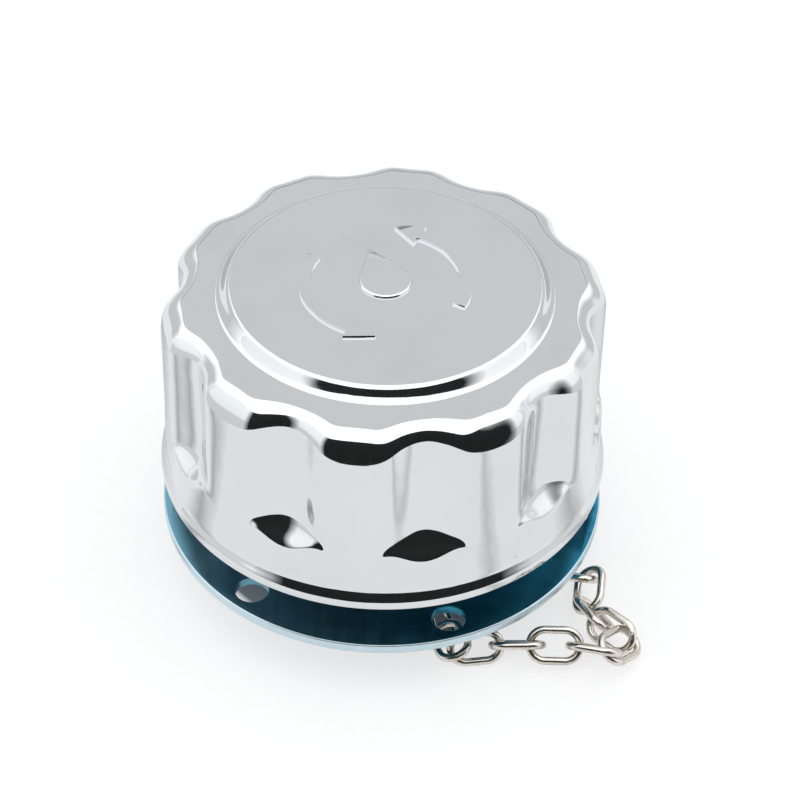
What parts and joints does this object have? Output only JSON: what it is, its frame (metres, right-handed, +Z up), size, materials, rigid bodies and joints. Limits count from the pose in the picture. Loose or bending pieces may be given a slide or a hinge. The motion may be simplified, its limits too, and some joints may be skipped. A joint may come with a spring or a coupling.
{
  "type": "filler and breather cap",
  "caption": "Fluted chromed filler and breather cap with a bayonet on a flat screw flange, with a chain of welded oval links that retains the cap.",
  "frame": {"origin": "centre of the flange's underside, the face that seats on the tank", "axes": "+Z up through the cap; -Y is the front"},
  "size_m": [0.0897, 0.083, 0.0627],
  "materials": {
    "chrome": "bright chrome plate on drawn steel",
    "blue_zinc": "satin zinc plate with a deep blue passivate",
    "clear_zinc": "clear zinc plate",
    "nickel": "nickel plated steel wire",
    "rubber": "moulded nitrile rubber",
    "filter_paper": "pleated resin-treated paper",
    "spring_steel": "drawn spring wire"
  },
  "bodies": {
    "root": {"filler_flange": "blue_zinc", "cam_ring": "blue_zinc", "neck_sleeve": "blue_zinc", "chain_anchor": "nickel", "chain_link_04": "nickel", "chain_link_05": "nickel", "chain_link_06": "nickel", "chain_link_07": "nickel", "chain_link_08": "nickel", "chain_link_09": "nickel", "chain_link_10": "nickel", "chain_link_11": "nickel", "chain_link_12": "nickel", "chain_link_13": "nickel", "chain_link_14": "nickel", "chain_link_15": "nickel", "chain_link_16": "nickel", "chain_link_17": "nickel"},
    "swivel": {"chain_swivel": "nickel"},
    "cap": {"cap_shell": "chrome", "centre_stud": "clear_zinc", "upper_filter_seal": "rubber", "lower_filter_seal": "rubber", "filter_element": "filter_paper", "filter_core": "clear_zinc", "inner_pan": "clear_zinc", "cap_gasket": "rubber", "clamp_nut": "clear_zinc", "lock_nut": "clear_zinc", "thrust_washer": "clear_zinc", "spring_washer": "clear_zinc", "bar_spring": "spring_steel"},
    "bar": {"bayonet_bar": "clear_zinc"},
    "hanging_link_1": {"chain_link_01": "nickel"},
    "hanging_links_2_3": {"chain_link_02": "nickel", "chain_link_03": "nickel"}
  },
  "joints": [
    {"name": "cap_lift", "type": "slide", "parent": "root", "child": "swivel", "axis": [0, 0, 1], "range_m": [0, 0.021]},
    {"name": "cap_turn", "type": "hinge", "parent": "swivel", "child": "cap", "pos_m": [0, 0, 0], "axis": [0, 0, 1], "range_deg": [-75, 0]},
    {"name": "bar_slide", "type": "slide", "parent": "cap", "child": "bar", "axis": [0, 0, 1], "range_m": [-0.0015, 0], "deforming": ["bar_spring"]},
    {"name": "chain_swing_1", "type": "hinge", "parent": "swivel", "child": "hanging_link_1", "pos_m": [0, 0, -0.0066], "axis": [0.9063, 0.4226, 0], "range_deg": [0, 85]},
    {"name": "chain_swing_2", "type": "hinge", "parent": "hanging_link_1", "child": "hanging_links_2_3", "pos_m": [0.00288, -0.00619, -0.0072], "axis": [0.9063, 0.4226, 0], "range_deg": [0, 5]}
  ],
  "couplings": [
    {"joint": "bar_slide", "follows": "cap_turn", "m_per_rad": 0.001145},
    {"joint": "chain_swing_1", "follows": "cap_lift", "rad_per_m": 70.637},
    {"joint": "chain_swing_2", "follows": "cap_lift", "rad_per_m": 4.151}
  ]
}
